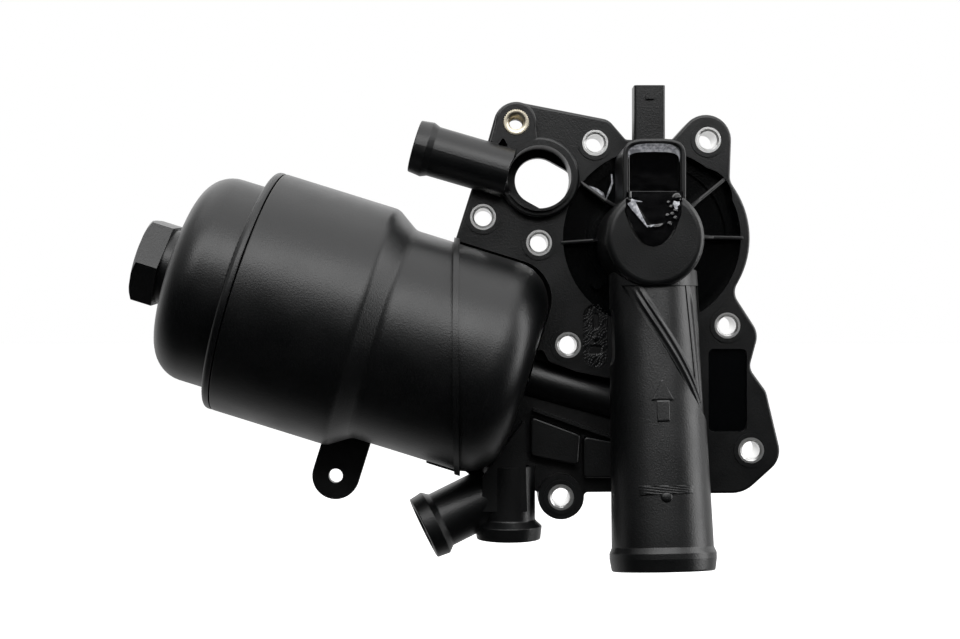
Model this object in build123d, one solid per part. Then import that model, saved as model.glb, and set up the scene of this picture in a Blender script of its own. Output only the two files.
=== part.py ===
"""Oil filter housing with thermostat, hose spigots and a screw cap, in millimetres.

The housing is drawn as it is seen from the front: x to the right, y up, z towards the viewer,
with the mounting face at z = 0 and the datum bolt hole at x = y = 0. The last step stands every
piece up in the installed frame, where +Z is up and +Y points into the engine.
The filter pieces are turned about the filter axis and drawn in their own frame, whose height u
runs from the cap joint towards the closed end and whose first direction v points up.
"""
import os
from math import cos, radians, sin

from build123d import *

# Flange plate
PLATE_THICKNESS = 16.0
PLATE_EDGE = 1.1
LOW_THICKNESS = 8.0
PAD_Z = 13.0
PAD_EDGE = 0.8
RIDGE_Z = 14.0

# Bolts through the flange: the datum hole comes first
SLEEVE_PLACES = [(0, 0), (-32.3, 48.6), (-11.0, 38.8), (10.3, 76.8), (53.2, 77.9),
                 (60.5, 7.4), (69.5, -40.0), (-2.7, -57.8)]
SLEEVE_OUTER_R = 4.9
SLEEVE_BORE_R = 3.4
SLEEVE_CHAMFER = 0.7
BOSS_R = 6.5
BOSS_RISE = 0.5
INSERT_PLACE = (-19.8, 84.2)
INSERT_OUTER_R = 5.0
INSERT_BORE_R = 2.6
INSERT_LENGTH = 12.0
INSERT_LIP = 0.4
LUG_R = 8.4

# Raised platform with the side port
PLATFORM_Z = 20.0
PLATFORM_EDGE = 1.0
PORT_PLACE = (-11.0, 63.4)
PORT_BORE_R = 11.9
PORT_WALL = 1.0
PORT_BOSS_R = 15.2
PORT_Z = 22.0
PORT_FLOOR_Z = 4.0
SLOT_WIDTH = 17.9
SLOT_LENGTH = 6.5
SLOT_TILT = -29.0

# Neck between the port and the lug of the insert: corners with their rounding
NECK_OUTLINE = [
    (-29.6, 77.0, 0), (-27.5, 84.5, 0), (-12.4, 84.5, 2), (-11.6, 76.0, 3), (2.0, 70.0, 0),
    (-8.0, 58.4, 0), (-24.0, 58.4, 0),
]

# Filter chamber, along its own tilted axis
FILTER_TILT = 17.3
FILTER_ORIGIN = (-120.7, 20.3)
FILTER_AXIS_Z = 22.0
BOWL_R = 46.3
BOWL_WALL = 4.1
BOWL_BORE_R = BOWL_R - BOWL_WALL
SHOULDER_STEP = 5.6
SMALL_R = BOWL_R - SHOULDER_STEP
CHAMBER_WALL = 3.0
SHOULDER_START = 45.5
SHOULDER_END = 54.0
SHOULDER_ROUND = 5.0
CLOSED_END = 109.3
END_ROUND = 15.0
SEAM_X = -43.0
PAST_SEAM = 130.0
SEAM_FLANGE = 2.0
SEAM_RISE = 1.8
GROOVE_GAP = 1.6
RIM_GAP = 0.3

# Filter cap
CAP_R = BOWL_R
CAP_FLANGE = 2.8
CAP_FLANGE_ROUND = 1.9
RIM_HEIGHT = 1.0
CAP_DOME_R = BOWL_BORE_R - 2.8
CAP_WALL = 3.0
CAP_TOP = 28.2
CAP_CONE_START_R = 17.0
CAP_CONE_DROP = 4.4
CAP_CORNER_ROUND = 12.0
CAP_SPIGOT_LENGTH = 15.0
CAP_CLEARANCE = 0.3
HEX_FLATS = 30.0
HEX_TURN = 35.0
HEX_CROWN_R = 15.2
HEX_HEIGHT = 9.3
HEX_COLLAR_R = 14.2
HEX_COLLAR = 3.6
HEX_SOCKET_R = 9.0
HEX_SOCKET_DEPTH = 7.0
SEAL_SECTION_R = 1.15
SEAL_PLACE = 4.4
SEAL_CLEARANCE = 0.05

# Filter element
ELEMENT_START = 5.0
ELEMENT_END = 92.0
ELEMENT_ROOM = 8.2
ELEMENT_R = BOWL_BORE_R - ELEMENT_ROOM
PLEATS = 36
PLEAT_THICKNESS = 0.9
CORE_R = 16.0
CORE_WALL = 1.5
END_PLATE = 2.0
END_PLATE_OVERHANG = 1.2
STANDPIPE_R = 9.0
STANDPIPE_BORE_R = 6.5
STANDPIPE_START = 72.0
RISER_HEIGHT = 99.4
RISER_R = 6.4
RISER_BORE_R = 4.0
ELEMENT_SEAL_WIDTH = 2.4
ELEMENT_SEAL_LENGTH = 4.0

# Bypass valve in the cap
VALVE_TUBE_R = 11.0
VALVE_TUBE_WALL = 2.0
VALVE_TUBE_END = ELEMENT_START + END_PLATE + 1.0
TUBE_WINDOW = (6.0, 6.0, 10.0)
TUBE_WINDOW_PLACE = -16.0
VALVE_SEAT_R = 5.5
VALVE_SEAT_THICKNESS = 2.0
VALVE_DISC_R = 7.2
VALVE_DISC_THICKNESS = 1.4
VALVE_CAGE_R = 10.6
VALVE_CAGE_LENGTH = 16.0
VALVE_CAGE_WALL = 1.5
VALVE_SPRING_R = 5.2
VALVE_SPRING_WIRE = 1.0
VALVE_SPRING_TURNS = 5
JOINT_GAP = 0.3

# Thermostat recess, dome and connector well
RECESS_PLACE = (31.9, 40.7)
RECESS_R = 33.8
RECESS_FLOOR_Z = 8.0
RECESS_BULGE_PLACE = (50.5, 55.5)
RECESS_BULGE_R = 12.0
RECESS_STEP_R = (24.0, 29.5)
RECESS_STEP_DEPTH = 2.0
DOME_PLACE = (29.0, 38.7)
DOME_R = 18.1
DOME_DRAFT = 0.5
DOME_TOP_Z = 54.0
DOME_EDGE_ROUND = 2.5
DOME_WALL = 3.0
DOME_ROOF_Z = 42.0
CHAMBER_RIB_ANGLES = (0.0, 39.0, 142.0, 183.0)
CHAMBER_RIB_TOP = 15.5
CHAMBER_RIB_HEAD = 30.0
CHAMBER_RIB = 1.3
CHAMBER_RIB_SET_IN = 2.4
NUB_PLACE = (11.4, 23.6)
NUB_R = 2.3
NUB_POCKET_R = 6.0
WELL_WIDTH = 22.4
WELL_WALL = 1.8
WELL_TOP_Y = 74.3
WELL_CORNER = 5.4
WELL_RIM_Z = 50.0
WELL_FLOOR_Z = 30.0
WELL_TIP_Y = 35.3
WELL_SLOPE = 20.0
RESIN_LEVEL_Z = 46.0
RESIN_FILM = 0.8
CONNECTOR_WIDTH = 11.4
CONNECTOR_DEPTH = 10.0
CONNECTOR_LENGTH = 21.6
CONNECTOR_TOP_Y = WELL_TOP_Y + CONNECTOR_LENGTH
CONNECTOR_Z = 30.0
CONNECTOR_WALL = 1.4
CONNECTOR_SOCKET = 15.0
LATCH_SIZE = (3.0, 1.5, 1.2)
LATCH_Y = CONNECTOR_TOP_Y - 4.4
TERMINAL_PITCH = 4.0
TERMINAL_SIZE = (1.6, 0.8)
TERMINAL_REACH = 10.0

# Coolant pipe
PIPE_TOP = (30.1, 26.5, 35.2)
PIPE_END = (32.4, -80.5, 49.0)
PIPE_TOP_R = 16.1
PIPE_END_R = 18.5
PIPE_WALL = 3.2
PIPE_BEAD_R = 19.2
PIPE_BEAD_BACK = 6.5
FACET_DEPTH = 0.8

# Hose spigots: end centre, outward direction, tube radius, bead radius, length
UPPER_SPIGOT_END = (-58.1, 75.2, 20.0)
UPPER_SPIGOT_TILT = 163.7
UPPER_SPIGOT_R = 9.5
UPPER_SPIGOT_BEAD_R = 10.5
UPPER_SPIGOT_LENGTH = 47.0
SIDE_SPIGOT_END = (-55.0, -70.2, 12.0)
SIDE_SPIGOT_TILT = 205.8
SIDE_SPIGOT_LEAN = 7.8
SIDE_SPIGOT_R = 10.8
SIDE_SPIGOT_BEAD_R = 12.8
SIDE_SPIGOT_LENGTH = 36.0
DOWN_SPIGOT_END = (-22.5, -74.4, 10.0)
DOWN_SPIGOT_R = 10.2
DOWN_SPIGOT_BEAD_R = 12.8
DOWN_SPIGOT_LENGTH = 28.0
SPIGOT_WALL = 2.2
SPIGOT_BEAD = 5.0
SPIGOT_BEAD_RAMP = 2.4

# Thermostat, in the back of the dome
SEAT_R = 13.5
FRAME_R = 22.0
FRAME_THICKNESS = 2.0
FRAME_POCKET_Z = 4.2
FRAME_PLAY = 0.2
THERMO_SEAL = 1.6
VALVE_PLATE_R = 15.2
VALVE_PLATE = 1.2
CAPSULE_R = 6.5
CAPSULE_BACK = 14.0
CAPSULE_FRONT = 12.0
CAPSULE_NECK_R = 4.5
PIN_R = 2.5
PIN_SLACK = 0.08
PIN_DEPTH = 14.0
HEATER_BASE_R = 6.0
HEATER_BASE = 6.0
BRIDGE_REACH = 24.0
BRIDGE_WIDTH = 8.0
BRIDGE_METAL = 1.5
THERMO_SPRING_R = 12.0
THERMO_SPRING_WIRE = 1.7
THERMO_SPRING_TURNS = 5

# Corners of the raised pads, of the ridge and of the web, with their rounding
LEFT_PAD = [(-14.1, -27.2, 1.5), (4.9, -34.3, 1.5), (4.0, -46.2, 1.5), (-14.1, -42.5, 1.5)]
RIGHT_PAD = [(6.0, -34.8, 1.5), (18.0, -37.0, 1.5), (18.0, -50.9, 1.5), (6.0, -50.9, 1.5)]
RIDGE = [(-13.4, -25.2, 0), (18.0, -36.3, 0), (18.0, -35.1, 0), (-13.0, -24.2, 0)]
WEB = [(-16.5, -28.2, 0.5), (-15.6, -63.0, 0.5), (-32.6, -63.0, 0.5), (-32.6, -50.1, 0.5)]

# Pockets in the front face: centre and size
OVAL_POCKET_PLACE = (10.45, 3.45)
OVAL_POCKET_SIZE = (24.3, 9.5)
OVAL_POCKET_DEPTH = 2.0
SQUARE_POCKET_PLACE = (60.7, -17.2)
SQUARE_POCKET_SIZE = (14.6, 31.5)
SQUARE_POCKET_DEPTH = 1.8
NOTCH = [(-27.0, 75.2, 0.6), (-22.6, 74.6, 0.6), (-24.6, 78.6, 0.6)]
NOTCH_FLOOR_Z = 12.0

# Pockets that core the plate out from the mounting face: ceiling height and corners
BACK_POCKETS = [
    (11.0, [(7.4, -6.8), (17.2, -8.8), (17.2, 8.0), (9.8, 16.0), (7.4, 10.4)]),
    (11.0, [(19.2, -9.4), (36.9, -14.0), (36.9, 8.0), (19.2, 8.0)]),
    (11.0, [(38.9, -8.4), (55.2, -8.4), (55.2, 18.0), (38.9, 18.0)]),
    (11.0, [(57.2, -8.4), (65.8, -8.4), (69.2, 4.4), (61.0, 16.4), (57.2, 18.0)]),
    (11.0, [(38.9, -10.4), (65.8, -10.4), (72.0, -18.4), (74.6, -30.4), (38.9, -30.4)]),
    (11.0, [(38.9, -32.4), (75.2, -32.4), (78.0, -42.6), (66.2, -53.2), (38.9, -53.2)]),
    (10.0, [(-11.4, -30.4), (2.4, -35.4), (1.7, -43.4), (-11.4, -40.4)]),
    (10.0, [(8.5, -38.2), (15.5, -39.4), (15.5, -48.4), (8.5, -48.4)]),
    (5.0, [(20.2, -36.0), (34.2, -38.0), (34.2, -53.2), (20.2, -53.2)]),
    (5.0, [(-12.0, -47.4), (2.4, -47.4), (4.2, -50.6), (4.2, -53.2), (-12.0, -53.2)]),
]
BACK_POCKET_ROUND = 1.2
SLEEVE_WALL = 2.6

# Gaskets in the mounting face
GASKET_WIDTH = 2.4
GASKET_DEPTH = 2.0
GASKET_SLACK = 0.15
COOLANT_GASKET_R = 25.5
OIL_OUTLET_PLACE = (14.0, -24.0)
OIL_INLET_PLACE = (-3.0, 25.0)
OIL_PORT_R = 3.5
OIL_PORT_DEPTH = 7.0
OIL_GASKET_R = 5.5
OIL_DUCT_TILT = -15.6
OIL_DUCT_Z = 6.0
OIL_DUCT_R = 7.5
OIL_DUCT_REACH = (12.0, 64.0)
OIL_DUCT_BORE_REACH = 42.0
INLET_DUCT_Z = 4.4
INLET_DUCT_R = 2.8
INLET_DUCT_REACH = (-17.0, -7.0)

# Tab bracket under the bowl
TAB_HOLE = (-89.4, -50.9)
TAB_HOLE_R = 2.75
TAB_R = 9.1
TAB_THICKNESS = 4.0
TAB_LENGTH = 30.0

ALL = 400.0


def outline(corners):
    """Closed face through (x, y, rounding radius) corners."""
    points = [(x, y) for x, y, _ in corners]
    return make_face(FilletPolyline(*points, radius=[r for _, _, r in corners], close=True))


def turned(corners):
    """Solid of revolution about local z from (radius, height, rounding) corners."""
    return revolve(Plane.XZ * outline(corners), Axis.Z)


def prism(face, low, high):
    """The face carried straight from height low to height high."""
    return extrude(Pos(0, 0, low) * face, high - low)


def disc(place, radius, low, high):
    """Round bar standing on the plate, from height low to high."""
    return Pos(place[0], place[1], low) * Cylinder(
        radius, high - low, align=(Align.CENTER, Align.CENTER, Align.MIN))


def ring(place, inner, outer, low, high):
    """Round ring about place, from height low to high."""
    return disc(place, outer, low, high) - disc(place, inner, low - 1, high + 1)


def coil(radius, wire, low, high, turns):
    """Round wire wound about local z between two end faces."""
    height = high - low - wire
    path = Pos(0, 0, low + wire / 2) * Helix(height / turns, height, radius)
    section = Plane(path @ 0, z_dir=path % 0) * Circle(wire / 2)
    return sweep(section, path, is_frenet=True)


def axis_plane(end, tilt, lean):
    """Frame at a spigot's end face whose z axis points out of the spigot."""
    flat = cos(radians(lean))
    direction = (flat * cos(radians(tilt)), flat * sin(radians(tilt)), sin(radians(lean)))
    return Plane(origin=end, x_dir=(0, 0, 1) if lean == 0 else None, z_dir=direction)


FILTER = Plane(
    origin=(FILTER_ORIGIN[0], FILTER_ORIGIN[1], FILTER_AXIS_Z),
    x_dir=(sin(radians(FILTER_TILT)), cos(radians(FILTER_TILT)), 0),
    z_dir=(cos(radians(FILTER_TILT)), -sin(radians(FILTER_TILT)), 0),
)

# Corners of the flange plate, clockwise from the weld seam, with their rounding
PLATE_OUTLINE = [
    (-42.6, 40.7, 6), (-36.0, 61.5, 40), (-30.6, 77.0, 30), (-25.9, 93.8, LUG_R),
    (15.5, 85.7, 6), (22.0, 78.2, 1.5), (39.2, 77.6, 2), (63.0, 103.8, 9.6),
    (61.6, 62.5, 6), (74.9, 41.8, 34.0), (62.6, 20.0, 6), (72.6, 4.5, 8),
    (69.0, -8.8, 5), (75.4, -17.6, 6), (81.5, -43.3, 9), (67.0, -56.4, 12),
    (6.6, -56.8, 1.6), (6.6, -67.2, 8.6), (-11.1, -67.2, 8.6), (-11.1, -56.2, 1.6),
    (-30.0, -56.0, 4), (-42.6, -46.0, 1),
]
# The lower middle of the plate stays thin: corners of that stretch
LOW_OUTLINE = [
    (-60, -2.0, 0), (-9.5, -2.0, 0.5), (-7.3, -6.2, 3), (3.2, -10.1, 4),
    (15.4, -12.5, 3), (36.0, -18.0, 0), (36.0, -80.0, 0), (-60.0, -80.0, 0),
]


def spigot_outside(radius, bead_radius, length):
    """Hose spigot: a tube with a ramped bead at its mouth, from its end face at height 0."""
    top = -SPIGOT_BEAD
    return turned([
        (0, -length, 0), (radius, -length, 0), (radius, top - SPIGOT_BEAD_RAMP, 1.0),
        (bead_radius, top, 0.6), (bead_radius - 0.6, 0, 0.5), (0, 0, 0)])


def spigot_bore(radius, length):
    """The passage through a spigot, a little past its end face."""
    return Cylinder(radius - SPIGOT_WALL, length + 1, align=(Align.CENTER, Align.CENTER, Align.MAX))\
        .moved(Location((0, 0, 1)))


UPPER = axis_plane(UPPER_SPIGOT_END, UPPER_SPIGOT_TILT, 0)
SIDE = axis_plane(SIDE_SPIGOT_END, SIDE_SPIGOT_TILT, SIDE_SPIGOT_LEAN)
DOWN = axis_plane(DOWN_SPIGOT_END, -90, 0)
PIPE_VECTOR = Vector(*PIPE_END) - Vector(*PIPE_TOP)
PIPE_LENGTH = PIPE_VECTOR.length
PIPE = Plane(origin=PIPE_END, x_dir=(1, 0, 0), z_dir=PIPE_VECTOR.normalized())


def right_of_seam(shape):
    """What lies on the housing's side of the weld seam."""
    return shape & (Pos(SEAM_X, 0, 0) * Box(
        ALL, ALL, ALL, align=(Align.MIN, Align.CENTER, Align.CENTER)))


def left_of_seam(shape):
    """What lies on the bowl's side of the weld seam."""
    return shape & (Pos(SEAM_X, 0, 0) * Box(
        ALL, ALL, ALL, align=(Align.MAX, Align.CENTER, Align.CENTER)))


def make_plate():
    """The flange plate with its rounded front edge, thin lower stretch and bolt bosses."""
    plate = prism(outline(PLATE_OUTLINE), 0, PLATE_THICKNESS)
    plate = fillet(plate.faces().sort_by(Axis.Z)[-1].edges(), PLATE_EDGE)
    plate -= prism(outline(LOW_OUTLINE), LOW_THICKNESS, PLATE_THICKNESS + 1)
    for place in SLEEVE_PLACES:
        plate += disc(place, BOSS_R, 0, PLATE_THICKNESS + BOSS_RISE)
    lug = disc(SLEEVE_PLACES[-1], BOSS_R + 2, 0, PLATE_THICKNESS)
    return plate + lug


def make_platform():
    """The raised platform of the brass insert's lug and the side port, rounded at its edge."""
    lug = disc(INSERT_PLACE, LUG_R - 0.6, 0, PLATFORM_Z)
    neck = prism(outline(NECK_OUTLINE), 0, PLATFORM_Z)
    boss = disc(PORT_PLACE, PORT_BOSS_R, 0, PLATFORM_Z)
    body = lug + neck + boss
    body = fillet(body.faces().sort_by(Axis.Z)[-1].edges(), PLATFORM_EDGE)
    return body + disc(PORT_PLACE, PORT_BORE_R + PORT_WALL, 0, PORT_Z)


def make_chamber():
    """The closed end of the filter chamber and its weld flange."""
    body = turned([(0, 20, 0), (SMALL_R, 20, 0), (SMALL_R, CLOSED_END, END_ROUND), (0, CLOSED_END, 0)])
    flange = turned([(0, 20, 0), (SMALL_R + SEAM_RISE, 20, 0), (SMALL_R + SEAM_RISE, CLOSED_END, 0),
                     (0, CLOSED_END, 0)])
    slab = Pos(SEAM_X, 0, 0) * Box(
        SEAM_FLANGE, ALL, ALL, align=(Align.MIN, Align.CENTER, Align.CENTER))
    return right_of_seam(FILTER * body) + ((FILTER * flange) & slab)


def make_chamber_cut():
    """The room inside the closed end, round the standpipe."""
    inner = SMALL_R - CHAMBER_WALL
    room = turned([(0, 20, 0), (inner, 20, 0), (inner, CLOSED_END - CHAMBER_WALL, END_ROUND - CHAMBER_WALL),
                   (0, CLOSED_END - CHAMBER_WALL, 0)])
    pipe = disc((0, 0), STANDPIPE_R, STANDPIPE_START, ALL)
    x, y = riser_place()
    riser = disc((x, y), RISER_R, -ALL / 2, FILTER_AXIS_Z)
    return FILTER * (room - pipe) - riser


def riser_place():
    """Where the riser below the standpipe's foot stands, seen from the front."""
    foot = FILTER.from_local_coords(Vector(0, 0, RISER_HEIGHT))
    return foot.X, foot.Y


def bar(start, end, radius):
    """Round bar between two points."""
    way = Vector(*end) - Vector(*start)
    return Plane(origin=start, z_dir=way.normalized()) * Cylinder(
        radius, way.length, align=(Align.CENTER, Align.CENTER, Align.MIN))


def make_groove():
    """The narrow gap that the plate keeps round the closed end."""
    radius = SMALL_R + GROOVE_GAP
    end = CLOSED_END + GROOVE_GAP
    grown = turned([(0, 20, 0), (radius, 20, 0), (radius, end, END_ROUND), (0, end, 0)])
    above = Pos(SEAM_X + SEAM_FLANGE, 0, LOW_THICKNESS) * Box(
        ALL, ALL, ALL, align=(Align.MIN, Align.CENTER, Align.MIN))
    return (FILTER * grown) & above


def make_recess():
    """The round recess about the thermostat dome, stepped at its floor."""
    cut = disc(RECESS_PLACE, RECESS_R, RECESS_FLOOR_Z, ALL)
    cut += ring(RECESS_PLACE, RECESS_STEP_R[0], RECESS_STEP_R[1],
                RECESS_FLOOR_Z - RECESS_STEP_DEPTH, RECESS_FLOOR_Z + 1)
    cut += disc(RECESS_BULGE_PLACE, RECESS_BULGE_R, RECESS_FLOOR_Z, ALL)
    return cut + disc(NUB_PLACE, NUB_POCKET_R, RECESS_FLOOR_Z, ALL)


def make_ribs():
    """Thin ribs from the dome to the wall of the recess."""
    ribs = []
    top = CHAMBER_RIB_TOP
    reach = RECESS_R + CHAMBER_RIB_SET_IN
    for angle in CHAMBER_RIB_ANGLES:
        side = prism(outline([
            (0, RECESS_FLOOR_Z - 1, 0), (reach, RECESS_FLOOR_Z - 1, 0),
            (reach, top, 0), (DOME_R + 4, top + 5, 3), (DOME_R - 2, CHAMBER_RIB_HEAD, 0),
            (0, CHAMBER_RIB_HEAD, 0)]), -CHAMBER_RIB / 2, CHAMBER_RIB / 2)
        ribs.append(Pos(RECESS_PLACE[0], RECESS_PLACE[1], 0) * (Rot(0, 0, angle) * (Rot(90, 0, 0) * side)))
    return ribs[0] + ribs[1:]


def make_dome():
    """Thermostat dome: an upright cup that tapers to a flat, rounded top."""
    return Pos(DOME_PLACE[0], DOME_PLACE[1], 0) * turned([
        (0, 0, 0), (DOME_R + DOME_DRAFT, 0, 0), (DOME_R - DOME_DRAFT, DOME_TOP_Z, DOME_EDGE_ROUND),
        (0, DOME_TOP_Z, 0)])


def well_face(width, top, corner):
    """U shape of the connector well, open towards the dome."""
    x = DOME_PLACE[0]
    return outline([(x - width / 2, DOME_PLACE[1], 0), (x - width / 2, top, corner),
                    (x + width / 2, top, corner), (x + width / 2, DOME_PLACE[1], 0)])


def make_well():
    """Walls of the connector well with the plug socket above it."""
    wall = prism(well_face(WELL_WIDTH, WELL_TOP_Y, WELL_CORNER), 0, WELL_RIM_Z)
    x = DOME_PLACE[0]
    shell = Pos(x, WELL_TOP_Y - 3, CONNECTOR_Z) * Box(
        CONNECTOR_WIDTH, CONNECTOR_TOP_Y - WELL_TOP_Y + 3, CONNECTOR_DEPTH,
        align=(Align.CENTER, Align.MIN, Align.CENTER))
    shell = fillet(shell.edges().filter_by(Axis.Y), 1.2)
    latch = Pos(x, LATCH_Y, CONNECTOR_Z + CONNECTOR_DEPTH / 2) * Box(
        LATCH_SIZE[0], LATCH_SIZE[1], 2 * LATCH_SIZE[2])
    return wall + shell + latch


def below_slope(lift):
    """Half space under the slope that runs from the tip in the dome's top down into the well."""
    tilt = radians(WELL_SLOPE)
    plane = Plane(origin=(DOME_PLACE[0], WELL_TIP_Y, DOME_TOP_Z - 0.4 + lift), x_dir=(1, 0, 0),
                  z_dir=(0, sin(tilt), cos(tilt)))
    return plane * Box(2 * ALL, 2 * ALL, ALL, align=(Align.CENTER, Align.CENTER, Align.MAX))


def make_well_cut():
    """The room in the well, its sloping end in the dome's top, and the plug socket."""
    inside = WELL_WIDTH - 2 * WELL_WALL
    room = prism(well_face(inside, WELL_TOP_Y - WELL_WALL, WELL_CORNER - WELL_WALL), WELL_FLOOR_Z, ALL)
    ahead = Pos(0, DOME_PLACE[1] + DOME_R - 1.0, 0) * Box(
        ALL, ALL, ALL, align=(Align.CENTER, Align.MIN, Align.CENTER))
    room &= ahead
    x = DOME_PLACE[0]
    half = inside / 2
    spill = outline([
        (x - half, WELL_TOP_Y - 8, 0), (x - half - 0.3, WELL_TIP_Y + 17.3, 0.5),
        (x - half - 1.7, WELL_TIP_Y + 13.3, 1.5), (x - 8.2, WELL_TIP_Y + 4.6, 10),
        (x - 1.0, WELL_TIP_Y - 2.7, 7.4), (x + 6.4, WELL_TIP_Y + 4.6, 10),
        (x + half - 0.2, WELL_TIP_Y + 11.7, 1.5), (x + half, WELL_TOP_Y - 8, 0)])
    trough = prism(spill, WELL_FLOOR_Z, ALL) - below_slope(0)
    socket = Pos(x, CONNECTOR_TOP_Y + 1, CONNECTOR_Z) * Box(
        CONNECTOR_WIDTH - 2 * CONNECTOR_WALL, CONNECTOR_SOCKET + 1, CONNECTOR_DEPTH - 2 * CONNECTOR_WALL,
        align=(Align.CENTER, Align.MAX, Align.CENTER))
    return room, trough, socket


def make_pipe():
    """Coolant pipe: a drafted tube that leans forward, beaded at its mouth."""
    grow = (PIPE_END_R - PIPE_TOP_R) / PIPE_LENGTH
    bead = -PIPE_BEAD_BACK
    return PIPE * turned([
        (0, -PIPE_LENGTH, 0), (PIPE_TOP_R, -PIPE_LENGTH, 0), (PIPE_END_R + grow * (bead - 2), bead - 2, 0.8),
        (PIPE_BEAD_R, bead, 0.8), (PIPE_BEAD_R, bead + 2, 0.8), (PIPE_END_R, 0, 0.8), (0, 0, 0)])


def make_pipe_bore():
    """The drafted passage of the coolant pipe, up into the dome."""
    reach = PIPE_LENGTH + 14
    return PIPE * turned([
        (0, -reach, 0), (PIPE_TOP_R - PIPE_WALL, -reach, 0), (PIPE_END_R - PIPE_WALL, 1, 0), (0, 1, 0)])


def make_facet_cut():
    """Shallow three-sided step on the upper right of the pipe, ending in a slanted edge."""
    face = outline([(17.5, 22.0, 0), (49.5, 22.0, 0), (50.5, -27.0, 0), (48.5, -27.0, 0)])
    skin = turned([
        (PIPE_TOP_R - FACET_DEPTH, -PIPE_LENGTH, 0), (PIPE_TOP_R + 4, -PIPE_LENGTH, 0),
        (PIPE_END_R + 4, 0, 0), (PIPE_END_R - FACET_DEPTH, 0, 0)])
    return (PIPE * skin) & prism(face, PIPE_TOP[2] + 2, ALL)


def duct_end(reach):
    """Point on the clean oil duct, that far from the riser."""
    x, y = riser_place()
    tilt = radians(OIL_DUCT_TILT)
    return x + reach * cos(tilt), y + reach * sin(tilt), OIL_DUCT_Z


def make_lower():
    """The oil duct, the two raised pads and the web above the lower spigots."""
    duct = bar(duct_end(OIL_DUCT_REACH[0]), duct_end(OIL_DUCT_REACH[1]), OIL_DUCT_R)
    duct &= Box(ALL, ALL, ALL, align=(Align.CENTER, Align.CENTER, Align.MIN))
    body = duct + prism(outline(RIDGE), 0, RIDGE_Z)
    for corners in (LEFT_PAD, RIGHT_PAD):
        pad = prism(outline(corners), 0, PAD_Z)
        body += fillet(pad.faces().sort_by(Axis.Z)[-1].edges(), PAD_EDGE)
    return body + prism(outline(WEB), 0, DOWN_SPIGOT_END[2] + DOWN_SPIGOT_R - 1.0)


def make_surface_pockets():
    """Shallow pockets in the front face: the long round one, the square one and a notch."""
    oval = Rot(0, 0, 90) * SlotOverall(*OVAL_POCKET_SIZE)
    square = RectangleRounded(*SQUARE_POCKET_SIZE, 2.0)
    oval_low = PLATE_THICKNESS - OVAL_POCKET_DEPTH
    square_low = PLATE_THICKNESS - SQUARE_POCKET_DEPTH
    oval_cut = Pos(OVAL_POCKET_PLACE[0], OVAL_POCKET_PLACE[1], oval_low) * extrude(oval, ALL)
    square_cut = Pos(SQUARE_POCKET_PLACE[0], SQUARE_POCKET_PLACE[1], square_low) * extrude(square, ALL)
    return oval_cut + square_cut + prism(outline(NOTCH), NOTCH_FLOOR_Z, ALL)


def make_back_pockets():
    """Pockets with ribs between them that leave the plate an even skin."""
    keep = [disc(place, SLEEVE_OUTER_R + SLEEVE_WALL, -2, PLATE_THICKNESS) for place in SLEEVE_PLACES]
    keep.append(disc(RECESS_PLACE, RECESS_R + CHAMBER_WALL, -2, PLATE_THICKNESS))
    keep.append(disc(OIL_OUTLET_PLACE, OIL_GASKET_R + CHAMBER_WALL, -2, PLATE_THICKNESS))
    keep.append(bar(duct_end(0), duct_end(OIL_DUCT_REACH[1]), OIL_DUCT_R))
    pockets = []
    for ceiling, corners in BACK_POCKETS:
        pocket = prism(outline([(x, y, BACK_POCKET_ROUND) for x, y in corners]), -1, ceiling)
        for solid in keep:
            pocket -= solid
        pockets.append(pocket)
    return pockets


def make_back_cuts():
    """Thermostat pocket, gasket grooves and oil ways that open in the mounting face."""
    cuts = [disc(DOME_PLACE, FRAME_R + FRAME_PLAY, -1, FRAME_POCKET_Z),
            disc(DOME_PLACE, DOME_R - DOME_WALL, -1, DOME_ROOF_Z)]
    for place, radius in ((DOME_PLACE, COOLANT_GASKET_R), (OIL_OUTLET_PLACE, OIL_GASKET_R),
                          (OIL_INLET_PLACE, OIL_GASKET_R)):
        cuts.append(make_gasket(place, radius, GASKET_SLACK))
    for place in (OIL_OUTLET_PLACE, OIL_INLET_PLACE):
        cuts.append(disc(place, OIL_PORT_R, -1, OIL_PORT_DEPTH))
    cuts.append(disc(riser_place(), RISER_BORE_R, OIL_DUCT_Z - 2, FILTER_AXIS_Z))
    cuts.append(bar(duct_end(0), duct_end(OIL_DUCT_BORE_REACH), RISER_BORE_R))
    x, y = OIL_INLET_PLACE
    far = (x + INLET_DUCT_REACH[0], y + INLET_DUCT_REACH[1], INLET_DUCT_Z)
    cuts.append(bar((x + 1, y + 0.4, INLET_DUCT_Z), far, INLET_DUCT_R))
    return cuts + make_back_pockets()


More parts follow.
